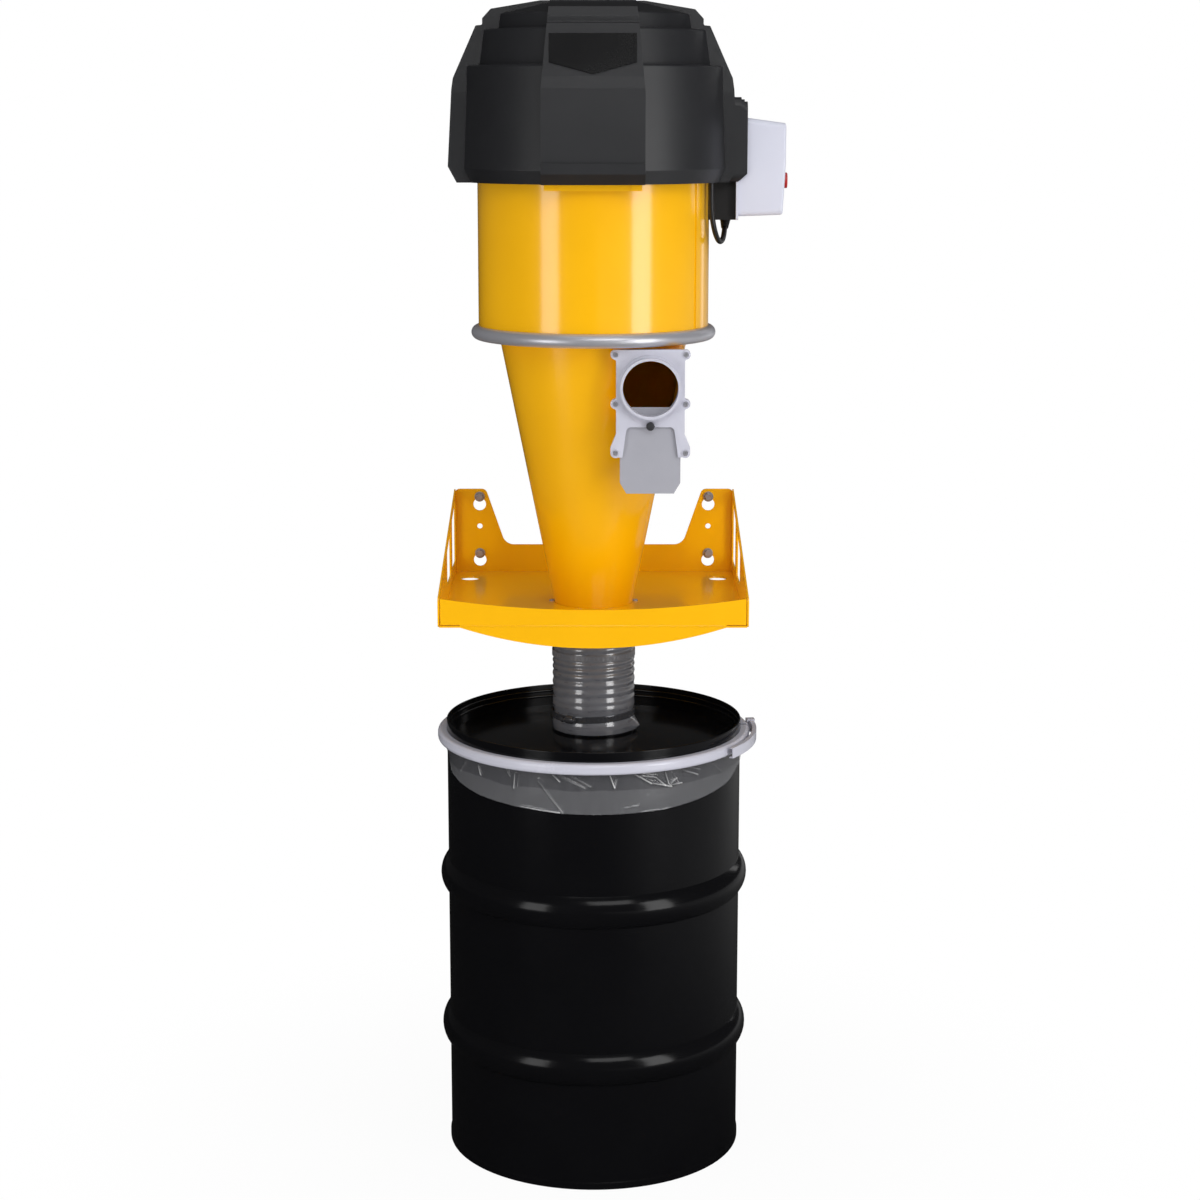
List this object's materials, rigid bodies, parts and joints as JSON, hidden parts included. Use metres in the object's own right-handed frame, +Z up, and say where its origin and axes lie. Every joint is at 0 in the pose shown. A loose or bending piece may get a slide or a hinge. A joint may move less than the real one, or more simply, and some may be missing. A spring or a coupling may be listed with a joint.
{
  "type": "cyclone dust separator",
  "caption": "Wall-hung cyclone dust separator: moulded motor hood, steel barrel and cone, slide gate inlet, folded bracket, and a clear hose to a steel drum.",
  "frame": {"origin": "on the wall bracket's back face, midway between the two lower wall bolts", "axes": "+Z up, +Y into the wall, +X to the right for someone who faces the wall"},
  "size_m": [0.6694, 0.625, 2.225],
  "materials": {
    "yellow_paint": "satin powder coat",
    "hood_plastic": "fine moulded grain",
    "badge_plastic": "bare satin plate",
    "black_paint": "satin",
    "band_steel": "brushed round the band",
    "box_plastic": "smooth moulded",
    "red_plastic": "smooth",
    "gland_plastic": "moulded",
    "cable_rubber": "satin jacket",
    "cast_aluminium": "cast and tumbled",
    "blade_steel": "galvanised sheet",
    "knob_plastic": "moulded",
    "screw_steel": "zinc plated",
    "drum_paint": "high gloss enamel",
    "ring_paint": "gloss enamel",
    "hose_vinyl": "clear ribbed vinyl",
    "clamp_steel": "bright stainless",
    "film": "clear film"
  },
  "bodies": {
    "root": {"bracket_back_plate": "yellow_paint", "bracket_shelf": "yellow_paint", "bracket_left_side": "yellow_paint", "bracket_right_side": "yellow_paint", "bracket_front_lip": "yellow_paint", "bracket_front_skirt": "yellow_paint", "cone": "yellow_paint", "cone_spigot": "yellow_paint", "cone_flange": "yellow_paint", "inlet_duct": "yellow_paint", "barrel": "yellow_paint", "barrel_top_plate": "yellow_paint", "barrel_seam": "yellow_paint", "hood_latch_bar": "yellow_paint", "motor_hood": "hood_plastic", "hood_badge_plate": "badge_plastic", "hood_base_pan": "black_paint", "box_bracket": "black_paint", "clamp_band": "band_steel", "clamp_band_bolt": "band_steel", "box_back_plate": "box_plastic", "electric_box": "box_plastic", "box_cover": "box_plastic", "cable_gland": "gland_plastic", "cable": "cable_rubber", "gate_body": "cast_aluminium", "gate_back_plate": "cast_aluminium", "gate_screws": "screw_steel", "drum_body": "drum_paint", "drum_bottom": "drum_paint", "drum_lid": "drum_paint", "lid_collar": "drum_paint", "closing_ring": "ring_paint", "ring_lugs": "ring_paint", "hose": "hose_vinyl", "hose_clamp_top": "clamp_steel", "hose_clamp_bottom": "clamp_steel", "bag_cuff": "film"},
    "gate_blade": {"gate_blade": "blade_steel"},
    "gate_knob": {"gate_knob": "knob_plastic"},
    "ring_lever": {"ring_lever": "ring_paint"},
    "stop_button": {"red_button": "red_plastic"}
  },
  "joints": [
    {"name": "gate_blade_slide", "type": "slide", "parent": "root", "child": "gate_blade", "axis": [0, 0, 1], "range_m": [-0.022, 0.095]},
    {"name": "gate_knob_turn", "type": "hinge", "parent": "root", "child": "gate_knob", "pos_m": [0.105, -0.5253, 0.3285], "axis": [0, -1, 0], "continuous": true},
    {"name": "ring_lever_swing", "type": "hinge", "parent": "root", "child": "ring_lever", "pos_m": [0.31193, -0.27616, -0.2968], "axis": [0, 0, 1], "range_deg": [0, 100]},
    {"name": "stop_button_press", "type": "slide", "parent": "root", "child": "stop_button", "axis": [-1, 0, 0], "range_m": [0, 0.003], "stiffness_N_per_m": 300, "springref_m": -0.002}
  ]
}
